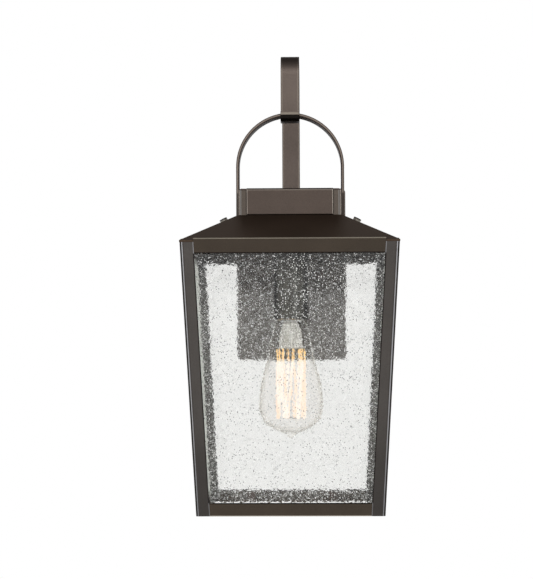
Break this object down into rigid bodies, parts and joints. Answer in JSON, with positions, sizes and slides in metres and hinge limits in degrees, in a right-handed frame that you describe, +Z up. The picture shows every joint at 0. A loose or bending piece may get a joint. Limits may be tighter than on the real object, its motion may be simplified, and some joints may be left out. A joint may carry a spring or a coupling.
{
  "type": "outdoor wall lantern",
  "caption": "Square tapered wall lantern with seeded glass panes, hipped roof, crown box and hoop handle, held by a strap hook over its wall plate.",
  "frame": {"origin": "middle of the mounting bar's two slots, on the wall", "axes": "+Y into the wall, +Z up, the lantern hangs towards -Y"},
  "size_m": [0.206, 0.249, 0.4505],
  "materials": {
    "bronze": "oil-rubbed bronze powder coat, fine texture, satin",
    "zinc_steel": "bright zinc plate",
    "seeded_glass": "clear seeded glass, small bubbles and faint ripples",
    "clear_glass": "clear blown glass",
    "gasket_foam": "closed-cell foam",
    "socket_insulator": "glazed porcelain white",
    "socket_brass": "plain brass",
    "bulb_cap_metal": "thin pressed brass, dull",
    "support_wire": "bare support wire",
    "filament": "glowing tungsten wire",
    "ground_green": "green dyed plating",
    "black_insulation": "smooth insulation",
    "white_insulation": "smooth insulation",
    "green_insulation": "smooth insulation",
    "connector_plastic": "moulded plastic"
  },
  "bodies": {
    "lantern": {"wall_plate": "bronze", "cap_nuts": "bronze", "hook_arm": "bronze", "hook_screws": "bronze", "arm_sleeve": "bronze", "hoop_handle": "bronze", "hoop_washers": "bronze", "crown_posts": "bronze", "crown_panel_front": "bronze", "crown_panel_back": "bronze", "crown_panel_left": "bronze", "crown_panel_right": "bronze", "crown_lid": "bronze", "roof": "bronze", "post_front_left": "bronze", "post_front_right": "bronze", "post_back_left": "bronze", "post_back_right": "bronze", "top_rail_front": "bronze", "top_rail_back": "bronze", "top_rail_left": "bronze", "top_rail_right": "bronze", "bottom_rail_front": "bronze", "bottom_rail_back": "bronze", "bottom_rail_left": "bronze", "bottom_rail_right": "bronze", "socket_sleeve": "bronze", "roof_tabs": "bronze", "glass_clips": "bronze", "mounting_bar": "zinc_steel", "plate_studs": "zinc_steel", "stud_nuts": "zinc_steel", "hook_nuts": "zinc_steel", "arm_pipe": "zinc_steel", "pipe_nuts": "zinc_steel", "hoop_screws": "zinc_steel", "clip_screws": "zinc_steel", "socket_nipple": "zinc_steel", "nipple_nuts": "zinc_steel", "pane_front": "seeded_glass", "pane_back": "seeded_glass", "pane_left": "seeded_glass", "pane_right": "seeded_glass", "wall_gasket": "gasket_foam", "socket_body": "socket_insulator", "socket_shell": "socket_brass", "socket_contact": "socket_brass", "ground_screw": "ground_green", "lead_black": "black_insulation", "lead_white": "white_insulation", "lead_ground": "green_insulation", "wire_connectors": "connector_plastic"},
    "knob_left": {"knob_left": "bronze"},
    "knob_right": {"knob_right": "bronze"},
    "bulb": {"bulb_glass": "clear_glass", "bulb_cap": "bulb_cap_metal", "bulb_stem": "clear_glass", "bulb_supports": "support_wire", "bulb_filament": "filament"}
  },
  "joints": [
    {"name": "knob_left_turn", "type": "hinge", "parent": "lantern", "child": "knob_left", "pos_m": [-0.063, -0.146, 0.04253], "axis": [-0.4566, 0, 0.8897], "continuous": true},
    {"name": "knob_right_turn", "type": "hinge", "parent": "lantern", "child": "knob_right", "pos_m": [0.063, -0.146, 0.04253], "axis": [0.4566, 0, 0.8897], "continuous": true},
    {"name": "bulb_turn", "type": "hinge", "parent": "lantern", "child": "bulb", "pos_m": [0, -0.146, -0.04], "axis": [0, 0, 1], "continuous": true}
  ]
}
